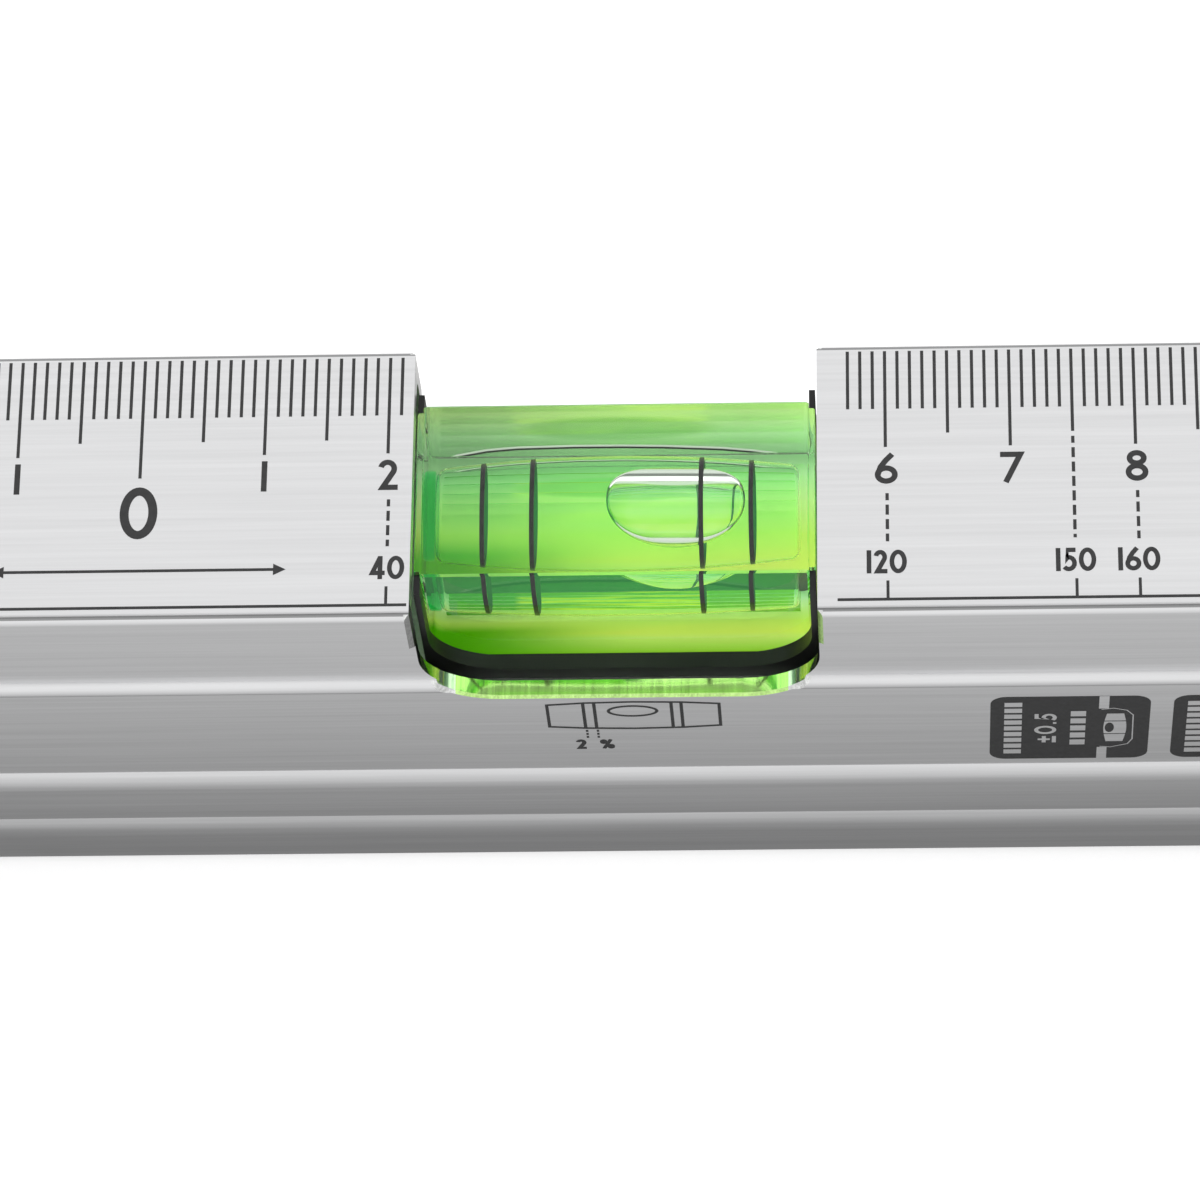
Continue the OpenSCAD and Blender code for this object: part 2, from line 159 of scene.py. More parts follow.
# colour, roughness and bump from a group of lines or grain
def groupFinish(t, shader, group, colour, tones, strength, depth):
    (colourTone, roughTone, roughness), tone = tones, group.outputs["Tone"]
    t.links.new(scaled(t, colour[:3], maths(t, "MULTIPLY_ADD", tone, colourTone, 1.0)),
                shader["Base Color"])
    t.links.new(maths(t, "MULTIPLY_ADD", tone, roughTone, roughness), shader["Roughness"])
    bump = put(t, "ShaderNodeBump", {"Height": group.outputs["Height"], "Strength": strength,
                                     "Distance": depth})
    t.links.new(bump.outputs[0], shader["Normal"])


# materials

vialCut = {                        # cut-out of the level vial, millimetres, as in the part's source
    "x": 38.25, "width": 32.5, "bottom": 33.0, "chamfer": 0.4, "corner": 6.325, "wall": 10.2,
    "margin": 0.02, "floorTop": 34.5}
alloy = {
    "drawn": rgb(0.80, 0.802, 0.81), "milled": rgb(0.70, 0.71, 0.70), "paintedGreenReflection": rgb(0.52, 0.80, 0.27),
    "drawnRoughness": 0.36, "milledRoughness": 0.08,
    "paintedReflectionHalf": 13.6, "lineStretch": (40.0, 2800.0, 2800.0), "lineBroad": (5.0, 900.0, 900.0),
    "millStretch": (5200.0, 40.0, 5200.0), "millBroad": (900.0, 8.0, 900.0),
    "bump": 0.35, "bumpDepth": 4e-6, "drawnTone": 0.34, "milledTone": 1.7, "roughTone": 0.12,
    "paintedEdgeShade": 0.42, "edgeFrom": 48.2, "edgeTurn": (0.88, 0.085)}      # rounding of the top edge


def makeAluminium():
    material, t, shader, out = newMaterial("drawnAluminium", {"Metallic": 1.0})
    x, y, z = parted(t)
    facing = parted(t, "Normal")
    # faces cut by the mill: those nearer the cut-out's outline than the chamfer's width
    corner = vialCut["corner"] * mm
    across = maths(t, "ABSOLUTE", maths(t, "SUBTRACT", x, vialCut["x"] * mm))
    sideways = maths(t, "SUBTRACT", across, vialCut["width"] / 2 * mm - corner)
    below = maths(t, "SUBTRACT", vialCut["bottom"] * mm + corner, z)
    outer = put(t, "ShaderNodeCombineXYZ", {0: maths(t, "MAXIMUM", sideways, 0.0),
                                            1: maths(t, "MAXIMUM", below, 0.0)})
    away = maths(t, "SUBTRACT", maths(t, "ADD", put(
        t, "ShaderNodeVectorMath", {0: outer.outputs[0]}, operation="LENGTH").outputs["Value"],
        maths(t, "MINIMUM", maths(t, "MAXIMUM", sideways, below), 0.0)), corner)
    near = maths(t, "LESS_THAN", away, (vialCut["chamfer"] + vialCut["margin"]) * mm)
    notOuter = maths(t, "LESS_THAN", maths(t, "ABSOLUTE", facing[1]), 0.95)
    inWall = maths(t, "GREATER_THAN", maths(t, "ABSOLUTE", y), vialCut["wall"] * mm)
    notTop = maths(t, "LESS_THAN", facing[2], 0.9)
    floorFace = maths(t, "LESS_THAN", z, vialCut["floorTop"] * mm)
    milled = maths(t, "MULTIPLY", maths(t, "MULTIPLY", near, notOuter), maths(
        t, "MULTIPLY", inWall, maths(t, "MAXIMUM", notTop, floorFace)))
    lines, cuts = (put(t, "ShaderNodeGroup", {"Stretch": alloy[kind + "Stretch"],
                                              "Broad": alloy[kind + "Broad"]}, node_tree=fineLines)
                   for kind in ("line", "mill"))
    height = mixValue(t, milled, lines.outputs["Height"], cuts.outputs["Height"])
    tone = mixValue(t, milled, lines.outputs["Tone"], cuts.outputs["Tone"])
    # painted reflection: milled faces near the vial's middle are coloured green, standing in for the vial's
    # green light that they mirror
    paintedGreenReflection = mixColour(t, maths(t, "LESS_THAN", across, alloy["paintedReflectionHalf"] * mm), alloy["milled"],
                    alloy["paintedGreenReflection"])
    base = mixColour(t, milled, alloy["drawn"], paintedGreenReflection)
    shade = maths(t, "MULTIPLY_ADD", tone, mixValue(
        t, milled, alloy["drawnTone"], alloy["milledTone"]), 1.0)
    # painted shade: the metal's colour is darkened in a line along the rounding of the top edge
    edge = maths(t, "MULTIPLY", maths(t, "COMPARE", facing[2], *alloy["edgeTurn"]),
                 maths(t, "GREATER_THAN", z, alloy["edgeFrom"] * mm))
    edge = maths(t, "MULTIPLY", edge, maths(t, "SUBTRACT", 1.0, milled))
    shade = maths(t, "MULTIPLY", shade, mixValue(t, edge, 1.0, alloy["paintedEdgeShade"]))
    t.links.new(scaled(t, base, shade), shader["Base Color"])
    rough = mixValue(t, milled, alloy["drawnRoughness"], alloy["milledRoughness"])
    t.links.new(maths(t, "MULTIPLY_ADD", tone, alloy["roughTone"], rough), shader["Roughness"])
    bump = put(t, "ShaderNodeBump", {"Height": height, "Strength": alloy["bump"],
                                     "Distance": alloy["bumpDepth"]})
    t.links.new(bump.outputs[0], shader["Normal"])
    return material


def makeInk(name, colour, roughness):
    material, t, shader, out = newMaterial(name, {"Roughness": roughness, "Specular IOR Level": 0.15})
    speckled(t, shader, colour, 2500.0, 0.5, 0.75, 3.0)
    return material


def makeGrained(name, colour, roughness, size, depth, gloss=0.5):
    material, t, shader, out = newMaterial(name, {"Specular IOR Level": gloss})
    group = put(t, "ShaderNodeGroup", {"Size": size}, node_tree=grain)
    groupFinish(t, shader, group, colour, (0.5, 0.2, roughness), 0.5, depth)
    return material


def makeMetal(name, colour, roughness, stretch):
    material, t, shader, out = newMaterial(name, {"Metallic": 1.0})
    group = put(t, "ShaderNodeGroup", {"Stretch": stretch}, node_tree=fineLines)
    groupFinish(t, shader, group, colour, (0.2, 0.15, roughness), 0.3, 3e-6)
    return material


clear = {                          # IOR of each surface against what lies outside it
    "blockIor": 1.49, "liquidIor": 1.445 / 1.49, "bubbleIor": 1.0 / 1.445, "plugIor": 1.01,
    "blockTint": rgb(0.45, 0.95, 0.30), "blockDensity": 14.0,
    "liquidTint": rgb(0.70, 0.975, 0.50), "liquidDensity": 60.0,
    "liquidGlow": rgb(0.0, 1.0, 0.15), "liquidGlowStrength": 18.0, "frontGloss": 0.06,
    "plugTint": rgb(0.02, 0.82, 0.45), "plugDensity": 700.0,
    "plugGlow": rgb(0.0, 1.0, 0.30), "plugGlowStrength": 26.0}


def makeClear(name, ior, tint=None, density=0.0, glow=None, glowStrength=0.0, frontGloss=1.0):
    material, t, shader, out = newMaterial(name, {"Roughness": 0.0, "IOR": ior,
                                                  "Transmission Weight": 1.0})
    speckled(t, shader, rgb(1, 1, 1), 260.0, 0.01, 0.99, 1.0)
    if frontGloss < 1:                 # painted shade: the front face's reflection is dimmed to frontGloss of its strength, as if it mirrored a dark studio
        front = maths(t, "LESS_THAN", parted(t, "Normal")[1], -0.9)
        share = mixValue(t, front, 1.0, frontGloss)
        gloss = put(t, "ShaderNodeCombineColor", {i: share for i in range(3)})
        t.links.new(gloss.outputs[0], shader["Specular Tint"])
    if tint:
        volume = put(t, "ShaderNodeVolumeAbsorption", {"Color": tint, "Density": density})
        # painted glow: the volume gives off green light of its own, though the liquid and plug are no lamps
        if glow:
            light = put(t, "ShaderNodeEmission", {"Color": glow, "Strength": glowStrength})
            volume = put(t, "ShaderNodeAddShader", {0: volume.outputs[0], 1: light.outputs[0]})
        t.links.new(volume.outputs[0], out["Volume"])
    return material


aluminium = makeAluminium()
ink = makeInk("printInk", rgb(0.052, 0.052, 0.053), 0.6)
ringInk = makeInk("ringInk", rgb(0.004, 0.004, 0.004), 0.3)
sealRubber = makeGrained("sealRubber", rgb(0.018, 0.018, 0.018), 0.4, 900.0, 2e-6, gloss=0.25)
capPlastic = makeGrained("capPlastic", rgb(0.022, 0.022, 0.024), 0.5, 2600.0, 9e-6)
bushPlastic = makeGrained("bushPlastic", rgb(0.022, 0.022, 0.024), 0.42, 3000.0, 6e-6)
magnetNickel = makeMetal("magnetNickel", rgb(0.66, 0.65, 0.62), 0.22, (900.0, 900.0, 900.0))
cupSteel = makeMetal("cupSteel", rgb(0.56, 0.57, 0.6), 0.32, (1500.0, 1500.0, 200.0))
acrylic = makeClear("acrylic", clear["blockIor"], clear["blockTint"], clear["blockDensity"],
                    frontGloss=clear["frontGloss"])
liquid = makeClear("greenLiquid", clear["liquidIor"], clear["liquidTint"], clear["liquidDensity"],
                   clear["liquidGlow"], clear["liquidGlowStrength"])
gas = makeClear("bubbleGas", clear["bubbleIor"])
plugGreen = makeClear("plugGreen", clear["plugIor"], clear["plugTint"], clear["plugDensity"],
                      clear["plugGlow"], clear["plugGlowStrength"])

nodeFinish = {
    "profile": aluminium, "level_vial_front_seal": sealRubber, "level_vial_rear_seal": sealRubber,
    "plumb_vial_front_frame": sealRubber, "plumb_vial_rear_frame": sealRubber,
    "magnets": magnetNickel, "magnet_cups": cupSteel, "left_end_cap": capPlastic,
    "right_end_cap": capPlastic, "hang_bush_front": bushPlastic, "hang_bush_rear": bushPlastic}
for name, finish in nodeFinish.items():
    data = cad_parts[name].data
    data.materials.clear()
    data.materials.append(finish)
print("materials made")

# mesh helpers


def meshPiece(name, verts, faces, material, sharp, body="body", slot=None, node=None):
    data = bpy.data.meshes.new(name)
    data.from_pydata([Vector(v) * mm for v in verts], [], faces)
    data.materials.append(material)
    data.validate()
    turned = bmesh.new()
    turned.from_mesh(data)
    bmesh.ops.recalc_face_normals(turned, faces=turned.faces)
    turned.to_mesh(data)
    turned.free()
    data.shade_smooth()
    data.set_sharp_from_angle(angle=math.radians(sharp))
    piece = bpy.data.objects.new(name, data)
    bpy.context.scene.collection.objects.link(piece)
    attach(piece, body)
    if node:
        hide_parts(node)
    return piece


def joinParts(name, parts, material):
    verts, faces = [], []
    for v, f in parts:
        start = len(verts)
        verts.extend(v)
        faces.extend(tuple(start + i for i in face) for face in f)
    return meshPiece(name, verts, faces, material, 30)


def loftRings(rings):                            # tube through rings of as many points, closed at both ends
    count = len(rings[0])
    verts, faces = [v for ring in rings for v in ring], []
    for r in range(len(rings) - 1):
        a, b = r * count, (r + 1) * count
        for i in range(count):
            j = (i + 1) % count
            faces.append((a + i, a + j, b + j, b + i))
    faces.append(tuple(reversed(range(count))))
    faces.append(tuple(range((len(rings) - 1) * count, len(rings) * count)))
    return verts, faces


def ribbon(path, width, thick, lift, place):
    closed = math.dist(path[0], path[-1]) < 1e-6
    pts = [Vector(p) for p in (path[:-1] if closed else path)]
    count, sides = len(pts), []
    for i, p in enumerate(pts):
        before = pts[i - 1] if (i or closed) else None
        after = pts[(i + 1) % count] if (i < count - 1 or closed) else None
        d0 = (p - before).normalized() if before is not None else (after - p).normalized()
        d1 = (after - p).normalized() if after is not None else d0
        n0, n1 = Vector((-d0.y, d0.x)), Vector((-d1.y, d1.x))
        n = (n0 + n1).normalized()
        reach = width / 2 / max(n.dot(n0), 0.35)
        sides.append((p + n * reach, p - n * reach))
    verts, faces = [], []
    for left, right in sides:
        for q, h in ((left, lift), (right, lift), (right, lift + thick), (left, lift + thick)):
            verts.append(place(q.x, q.y, h))
    segments = count if closed else count - 1
    for i in range(segments):
        a, b = 4 * i, 4 * ((i + 1) % count)
        for k in range(4):
            m = (k + 1) % 4
            faces.append((a + k, a + m, b + m, b + k))
    if not closed:
        faces.append((3, 2, 1, 0))
        e = 4 * (count - 1)
        faces.append((e, e + 1, e + 2, e + 3))
    return verts, faces


def arc(cx, cy, rx, ry, a0, a1, steps=24):
    return [(cx + rx * math.cos(math.radians(a0 + (a1 - a0) * i / steps)),
             cy + ry * math.sin(math.radians(a0 + (a1 - a0) * i / steps)))
            for i in range(steps + 1)]


def roundedOutline(width, low, high, radius, inset, steps=28):
    w, r, points = width / 2 - inset, max(radius - inset, 0.02), []
    for cx, cz, start in ((w, low + inset, -90), (w, high - inset, 0),
                          (-w, high - inset, 90), (-w, low + inset, 180)):
        mx = cx - math.copysign(r, cx)
        mz = cz + r if cz == low + inset else cz - r
        for i in range(steps + 1):
            a = math.radians(start + 90 * i / steps)
            points.append((mx + r * math.cos(a), mz + r * math.sin(a)))
    return points


# vials

vial = {                           # millimetres, as in the part's source
    "cavityR": 5.0, "barrelR": 110.0, "cavityLength": 29.2, "endWall": 1.0, "plugR": 3.9,
    "innerGap": 13.6, "outerGap": 21.6, "ringWidth": 0.38, "ringDepth": 0.1, "ringOut": -0.012,
    "bubbleLength": 11.2, "bubbleWidth": 7.2, "bubbleHeight": 3.4, "filmGap": 0.12,
    "crownR": 3.68, "planPower": 2.3, "rimDepth": 0.35, "rimStart": 0.93, "endRound": 0.9,
    "plugBevel": 0.15, "plugGap": 0.04, "edge": 0.18}
block = {                          # clear block of the level vial, 0.01 inside the part's source
    "centre": 38.25, "width": 31.18, "low": 32.21, "high": 47.6, "corner": 1.0, "half": 7.64,
    "flange": 0.5, "flangeDrop": 0.3, "flangeHalf": 7.1, "soft": 0.12, "barrelZ": 40.05}
plumb = {"x": 158.0, "z": 24.6, "width": 15.4, "tallHalf": 15.6, "corner": 4.0, "half": 10.6}
levelPlace = Matrix.Translation((block["centre"], 0, block["barrelZ"]))
plumbPlace = Matrix.Translation((plumb["x"], 0, plumb["z"])) @ Matrix.Rotation(math.radians(-90), 4, "Y")


def barrelRadius(x, reduce=0.0):
    r = vial["barrelR"]
    return vial["cavityR"] - r + math.sqrt(r * r - x * x) - reduce


def turned(place, x, r, count=128):              # ring of points round the barrel's axis
    return [place @ Vector((x, r * math.cos(a), r * math.sin(a)))
            for a in (math.tau * i / count for i in range(count))]


def makeBlock(name, node, sections, shiftX):
    rings = [[(x + shiftX, y, z) for x, z in outline] for y, outline in sections]
    meshPiece(name, *loftRings(rings), acrylic, 20, slot="vial_acrylic", node=node)


def makeLiquid(name, node, place):
    half, rnd, steps = vial["cavityLength"] / 2, vial["endRound"], 60
    end = []                                     # rounded left end
    for i in range(8, -1, -1):
        a = math.radians(90 * i / 8)
        end.append((-half + rnd * (1 - math.sin(a)),
                    barrelRadius(-half + rnd) - rnd + rnd * math.cos(a)))
    along = [-half + rnd + (2 * half - 2 * rnd) * i / steps for i in range(1, steps)]
    profile = end + [(x, barrelRadius(x)) for x in along] + [(-x, r) for x, r in reversed(end)]
    meshPiece(name, *loftRings([turned(place, x, r) for x, r in profile]), liquid, 35,
              slot="vial_liquid", node=node)


def makeRings(name, node, place):
    verts, faces, w, count = [], [], vial["ringWidth"] / 2, 128
    for gap in (-vial["outerGap"], -vial["innerGap"], vial["innerGap"], vial["outerGap"]):
        start, centre = len(verts), gap / 2
        for x, deep in ((centre - w, vial["ringOut"]), (centre + w, vial["ringOut"]),
                        (centre + w, vial["ringDepth"]), (centre - w, vial["ringDepth"])):
            verts.extend(turned(place, x, barrelRadius(x, deep), count))
        for k in range(4):
            for i in range(count):
                j = (i + 1) % count
                a, b = start + k * count, start + (k + 1) % 4 * count
                faces.append((a + i, b + i, b + j, a + j))
    meshPiece(name, verts, faces, ringInk, 30, slot="ring_ink", node=node)


def makePlug(name, node, place):
    r, bevel, gap = vial["plugR"], vial["plugBevel"], vial["plugGap"]
    x0 = -vial["cavityLength"] / 2 - vial["endWall"] + gap
    x1 = -vial["cavityLength"] / 2 - gap
    rings = [turned(place, x, radius, 96) for x, radius in (
        (x0, r - bevel), (x0 + bevel, r), (x1 - bevel, r), (x1, r - bevel))]
    meshPiece(name, *loftRings(rings), plugGreen, 30, slot="vial_plug", node=node)


def makeBubble(name, node, place, shift, body):
    around, out, power = 96, 40, vial["planPower"]
    centre = Vector((0, 0, vial["cavityR"] - vial["barrelR"]))
    turn = place @ Matrix.Translation(centre) @ Matrix.Rotation(
        math.asin(shift / vial["barrelR"]), 4, "Y") @ Matrix.Translation(-centre)
    bottom = barrelRadius(0, vial["filmGap"]) - vial["bubbleHeight"]

    def plan(t, share):                          # outline seen from above, between an oval and a slot
        c, d = math.cos(t), math.sin(t)
        fuller = (abs(c) ** power + abs(d) ** power) ** (-1 / power)
        return vial["bubbleLength"] / 2 * share * c * fuller, vial["bubbleWidth"] / 2 * share * d * fuller

    def crown(x, y):
        return (barrelRadius(x, vial["filmGap"]) - vial["crownR"]
                + math.sqrt(vial["crownR"] ** 2 - y * y))

    def above(t, share):                         # the crown turns down to the rim
        late = max(0.0, share - vial["rimStart"]) / (1 - vial["rimStart"])
        return crown(*plan(t, share)) - vial["rimDepth"] * (1 - math.sqrt(max(0.0, 1 - late * late)))

    def underside(t, share):                     # sinks from the rim to a flat middle
        weight = max(0.0, 1 - share * share) ** 0.5
        return (crown(*plan(t, 1.0)) - vial["rimDepth"]) * (1 - weight) + bottom * weight

    shares = [math.sin(math.pi / 2 * k / out) ** 0.8 for k in range(1, out)]
    levels = [(share, above) for share in shares] + [(1.0, above)]
    levels += [(share, underside) for share in reversed(shares)]
    verts, faces = [turn @ Vector((0, 0, crown(0, 0)))], []
    for share, height in levels:
        for i in range(around):
            t = math.tau * i / around
            verts.append(turn @ Vector((*plan(t, share), height(t, share))))
    verts.append(turn @ Vector((0, 0, bottom)))
    rows = [list(range(1 + k * around, 1 + (k + 1) * around)) for k in range(len(levels))]
    for i in range(around):
        j = (i + 1) % around
        faces.append((0, rows[0][i], rows[0][j]))
        faces.append((len(verts) - 1, rows[-1][j], rows[-1][i]))
        for up, down in zip(rows, rows[1:]):
            faces.append((up[i], down[i], down[j], up[j]))
    meshPiece(name, verts, faces, gas, 180, body=body, slot="vial_bubble", node=node)


def levelOutline(inset, flange):
    w, low, high = block["width"] / 2 - inset, block["low"] + inset, block["high"] - inset
    r, soft, drop = block["corner"] - inset, block["soft"] * min(1, flange * 9), block["flangeDrop"]
    right = arc(w - r, low + r, r, r, -90, 0, 12)
    right += [(w + flange - soft, low + r), (w + flange, low + r + soft)]
    right += arc(w + flange - soft, high - drop - soft, soft, soft, 0, 90, 5)
    right += [(w, high - drop)] + arc(w - 0.15, high - 0.15, 0.15, 0.15, 0, 90, 6)
    return right + [(-x, z) for x, z in reversed(right)]


def levelSections():
    edge, half, wide, none = vial["edge"], block["half"], block["flangeHalf"], 1e-4
    f = block["flange"]
    front = [(-half, levelOutline(edge, none)), (-half + edge, levelOutline(0, none)),
             (-wide, levelOutline(0, none)), (-wide + 0.001, levelOutline(0, f - 0.1)),
             (-wide + 0.1, levelOutline(0, f))]
    return front + [(-y, outline) for y, outline in reversed(front)]


def plumbSections():
    edge, half, r = vial["edge"], plumb["half"], plumb["corner"]
    low, high = plumb["z"] - plumb["tallHalf"], plumb["z"] + plumb["tallHalf"]
    front = [(-half, roundedOutline(plumb["width"], low, high, r, edge)),
             (-half + edge, roundedOutline(plumb["width"], low, high, r, 0))]
    return front + [(-y, outline) for y, outline in reversed(front)]


makeBlock("levelBlock", "level_vial_block", levelSections(), block["centre"])
makeBlock("plumbBlock", "plumb_vial_block", plumbSections(), plumb["x"])
for side, place, shift, body in (("level", levelPlace, 4.8, "level_bubble"),
                                 ("plumb", plumbPlace, 8.4, "plumb_bubble")):
    makeLiquid(side + "Liquid", side + "_vial_liquid", place)
    makeRings(side + "Rings", side + "_vial_rings", place)
    makePlug(side + "Plug", side + "_vial_plug", place)
    makeBubble(side + "Bubble", side + "_vial_bubble", place, shift, body)


film = {                           # film under the level vial's block; its colours, changing from front to back, towards the ends and from left to right, are painted light and shade as seen through the vial, and its glow is painted light
    "stops": ((0.0, rgb(0.34, 0.68, 0.03)), (0.26, rgb(0.80, 1.0, 0.22)),
              (0.34, rgb(0.92, 0.98, 0.17)), (0.52, rgb(0.74, 0.92, 0.18)),
              (0.74, rgb(0.84, 1.0, 0.50)), (0.88, rgb(0.72, 1.0, 0.64)),
              (1.0, rgb(0.42, 0.74, 0.40))),
    "side": rgb(0.13, 0.56, 0.0), "sideFade": (5.0, 22.0), "middle": 46.0, "glow": 0.18,
    "sideDepth": (0.36, 0.56),
    "shade": rgb(0.66, 0.80, 0.60), "shadeX": 37.7, "shadeY": 5.1, "shadeHalf": (8.0, 1.1),
    "brightX": (24.0, 52.0), "bright": (0.78, 1.20), "inner": 0.04, "thick": 0.05, "rise": 0.3}
matt = {"Roughness": 0.7, "Specular IOR Level": 0.0}


def makeFilmMaterial():
    material, t, shader, out = newMaterial("vialFilm", {**matt, "Emission Strength": film["glow"]})
    x, y, z = parted(t)
    back = mapRange(t, y, -block["half"] * mm, block["half"] * mm)
    ramp = put(t, "ShaderNodeValToRGB", {0: back})
    made = ramp.color_ramp.elements
    while len(made) < len(film["stops"]):
        made.new(0.5)
    for stop, (position, colour) in zip(made, film["stops"]):
        stop.position, stop.color = position, colour
    away = mapRange(t, maths(t, "ABSOLUTE", maths(t, "SUBTRACT", x, film["middle"] * mm)),
                    *(v * mm for v in film["sideFade"]), soft=True)
    forward = mapRange(t, back, *film["sideDepth"], 1.0, 0.0, soft=True)
    colour = mixColour(t, maths(t, "MULTIPLY", away, forward), ramp.outputs[0], film["side"])
    # painted shadow: a soft lens-shaped shade towards the rear, where the barrel's shadow falls on the film
    across, along = (maths(t, "DIVIDE", maths(t, "SUBTRACT", place, film[key] * mm), half * mm)
                     for place, key, half in zip((x, y), ("shadeX", "shadeY"), film["shadeHalf"]))
    spread = maths(t, "ADD", maths(t, "MULTIPLY", across, across), maths(t, "MULTIPLY", along, along))
    paintedBarrelShadow = mixColour(t, 1.0, colour, film["shade"], blend="MULTIPLY")
    colour = mixColour(t, mapRange(t, spread, 0.5, 1.3, 1.0, 0.0, soft=True), colour, paintedBarrelShadow)
    # painted light: darker towards the left, lighter towards the right
    colour = scaled(t, colour, mapRange(t, x, *(v * mm for v in film["brightX"]), *film["bright"]))
    t.links.new(colour, shader["Base Color"])
    t.links.new(colour, shader["Emission Color"])
    return material


def makeFilm():
    inner, thick, half = film["inner"], film["thick"], block["half"] - 0.06
    w, r = block["width"] / 2 - inner, block["corner"]
    curve = [(w, block["low"] + r + film["rise"])]
    curve += arc(w - r, block["low"] + r, r, r - inner, 0, -90, 8)
    curve += [(-x, z) for x, z in reversed(curve)]
    edgeX, edgeZ = block["width"] / 2 + block["flange"] - inner, block["low"] + r + inner

    def onBottom(x, z, h):
        return (x + block["centre"], h, z)

    parts = [ribbon(curve, thick, 2 * half, -half, onBottom)]
    for side in (-1, 1):
        parts.append(ribbon([(side * (w + inner), edgeZ), (side * edgeX, edgeZ)], thick,
                            2 * block["flangeHalf"] - 0.1, -block["flangeHalf"] + 0.05, onBottom))
    joinParts("levelFilm", parts, makeFilmMaterial())


blades = {                         # one-sided ribs on the bottom, leaning back from the front face; their colours are painted light as seen through the front face, with painted yellow glints and a painted glow
    "lean": 0.3076, "thick": 0.01, "first": 2.45, "pitch": 1.05, "tall": 1.0, "rows": 5, "lift": 0.12,
    "left": rgb(0.09, 0.38, 0.02), "right": rgb(0.34, 0.62, 0.10), "paintedGlintYellow": rgb(0.95, 0.92, 0.10),
    "streakX": (29.2, 45.4), "streakEdge": 0.6, "streakStretch": (110.0, 1500.0, 1500.0),
    "streak": (0.44, 0.56, 0.1, 1.0), "ends": 1.0, "glow": 0.08}


def makeBlades():
    finish, t, shader, out = newMaterial("bladeGreen", {**matt, "Emission Strength": blades["glow"]})
    x = parted(t)[0]
    noise = put(t, "ShaderNodeTexNoise", {
        "Vector": stretched(t, coordinate(t), blades["streakStretch"]), "Scale": 1.0, "Detail": 1.0})
    low, high = (v * mm for v in blades["streakX"])
    edge, middle, reach = blades["streakEdge"] * mm, block["centre"] * mm, block["width"] / 2 * mm
    # painted highlights: streaks of yellow glint over the middle part of the ribs
    inside = maths(t, "MULTIPLY", mapRange(t, x, low, low + edge),
                   mapRange(t, x, high - edge, high, 1.0, 0.0))
    amount = maths(t, "MULTIPLY", mapRange(t, noise.outputs[0], *blades["streak"]), inside)
    # painted light: darker green at the left end, lighter green at the right
    colour = mixColour(t, mapRange(t, x, middle - reach, middle + reach), blades["left"],
                       blades["right"])
    colour = mixColour(t, amount, colour, blades["paintedGlintYellow"])
    t.links.new(colour, shader["Base Color"])
    t.links.new(colour, shader["Emission Color"])
    t.links.new(maths(t, "LESS_THAN", parted(t, "Normal")[1], -0.3), shader["Alpha"])
    parts, base = [], block["low"] + blades["lift"]
    half, tall, thick = block["width"] / 2 - blades["ends"], blades["tall"], blades["thick"]
    lean = tall * blades["lean"]
    for row in range(blades["rows"]):
        y = blades["first"] + row * blades["pitch"]
        loop = [(y, base), (y + thick, base), (y + thick - lean, base + tall), (y - lean, base + tall)]
        parts.append(loftRings([[(block["centre"] + end, py, pz) for py, pz in loop]
                                for end in (-half, half)]))
    joinParts("levelBlades", parts, finish)


rearPaintedShade = {                      # painted shade: a dark sheet behind the low end of the block's rear face, put where the view through the block shows shade
    "low": 32.4, "high": 35.8, "ends": 0.03, "gap": 0.02, "thick": 0.01, "colour": rgb(0.0, 0.12, 0.006)}


def makeRearStrip():
    material, t, shader, out = newMaterial("rearPaintedShade", matt)
    speckled(t, shader, rearPaintedShade["colour"], 150.0, 0.6, 0.7)
    half, near = block["width"] / 2 - rearPaintedShade["ends"], block["half"] + rearPaintedShade["gap"]
    far, low, high = near + rearPaintedShade["thick"], rearPaintedShade["low"], rearPaintedShade["high"]
    loops = [[(x + block["centre"], y, z) for y, z in ((near, low), (far, low), (far, high), (near, high))]
             for x in (-half, half)]
    meshPiece("levelRearPaintedShade", *loftRings(loops), material, 30)


arch = {    # arch low on the block's rear, given by where a sight line from above enters the top: a glowing light ribbon as painted highlight over a dark ribbon as painted dark line
    "points": ((-15.5, 2.45), (-14.3, 2.62), (-13.2, 2.99), (-10.8, 3.43), (-8.4, 3.63), (-3.7, 3.72),
               (0.0, 3.70), (3.4, 3.62), (8.1, 3.38), (10.5, 3.13), (12.8, 2.77), (15.5, 2.56)),
    "slope": 0.3076, "width": 0.16, "thick": 0.02, "inner": 0.04, "lift": 0.12, "glow": 0.45,
    "light": rgb(0.90, 0.96, 0.88), "dark": rgb(0.02, 0.05, 0.015)}


def archPoint(x, entry, inward):
    rear, low = block["half"] - arch["inner"] - inward, block["low"] + arch["lift"] + inward
    z = block["high"] - (block["half"] - arch["inner"] - entry) / arch["slope"]
    return (x + block["centre"], rear, max(z, low + arch["width"] / arch["slope"] * 0.5))


def makeArch(name, colour, row):
    material, t, shader, out = newMaterial(name, {
        "Roughness": 0.6, "Emission Strength": arch["glow"] * (1 - row)})
    shade = speckled(t, shader, colour, 400.0, 0.2, 0.9)
    t.links.new(shade, shader["Emission Color"])
    t.links.new(maths(t, "GREATER_THAN", parted(t, "Normal")[1], 0.3), shader["Alpha"])
    loops, width, thick = [], arch["width"], arch["thick"]
    for (x0, e0), (x1, e1) in zip(arch["points"], arch["points"][1:]):
        steps = 8 if x1 < arch["points"][-1][0] else 9
        for k in range(steps):
            x, near = x0 + (x1 - x0) * k / 8, e0 + (e1 - e0) * k / 8 - width * row
            loops.append([archPoint(x, near, 0), archPoint(x, near + width, 0),
                          archPoint(x, near + width, thick), archPoint(x, near, thick)])
    meshPiece(name, *loftRings(loops), material, 30)


